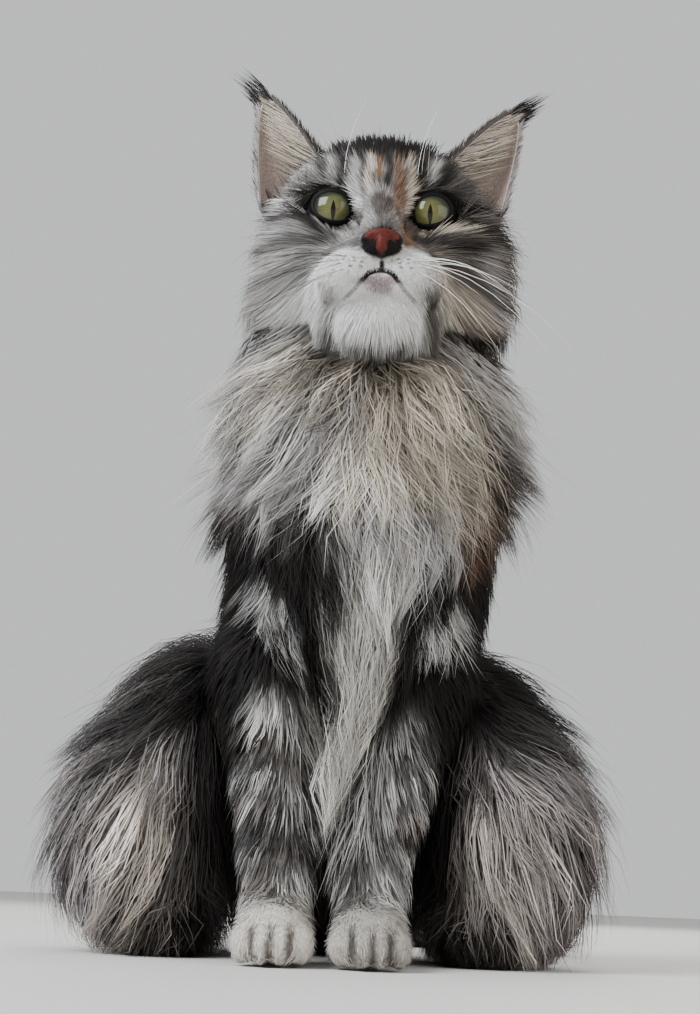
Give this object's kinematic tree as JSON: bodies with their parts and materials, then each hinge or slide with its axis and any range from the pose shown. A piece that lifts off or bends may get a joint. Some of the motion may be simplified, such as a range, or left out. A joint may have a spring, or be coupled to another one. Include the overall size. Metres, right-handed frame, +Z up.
{
  "type": "sitting maine coon cat model",
  "caption": "Life-size still model of a long-haired tabby cat sitting upright, with ruff, tufted ears and plumed tail.",
  "frame": {"origin": "on the floor, under the middle of the cat's bounding box", "axes": "the cat faces -Y, +X is its left side, +Z up"},
  "size_m": [0.2988, 0.4231, 0.4544],
  "materials": {
    "coat_silver": "long soft silver tabby fur",
    "coat_pale": "long pale grey and white fur",
    "coat_dark": "dark brown-black tabby fur",
    "eye": "glossy green-yellow eye"
  },
  "bodies": {
    "root": {"head": "coat_silver", "neck": "coat_pale", "torso": "coat_dark", "ear_right": "coat_silver", "ear_left": "coat_silver", "eye_right": "eye", "eye_left": "eye", "foreleg_right": "coat_silver", "foreleg_left": "coat_silver", "forepaw_right": "coat_pale", "forepaw_left": "coat_pale", "hindleg_right": "coat_silver", "hindleg_left": "coat_silver", "hindfoot_right": "coat_dark", "hindfoot_left": "coat_dark", "tail_base": "coat_dark", "tail_middle": "coat_dark", "tail_tip": "coat_dark"}
  },
  "joints": []
}
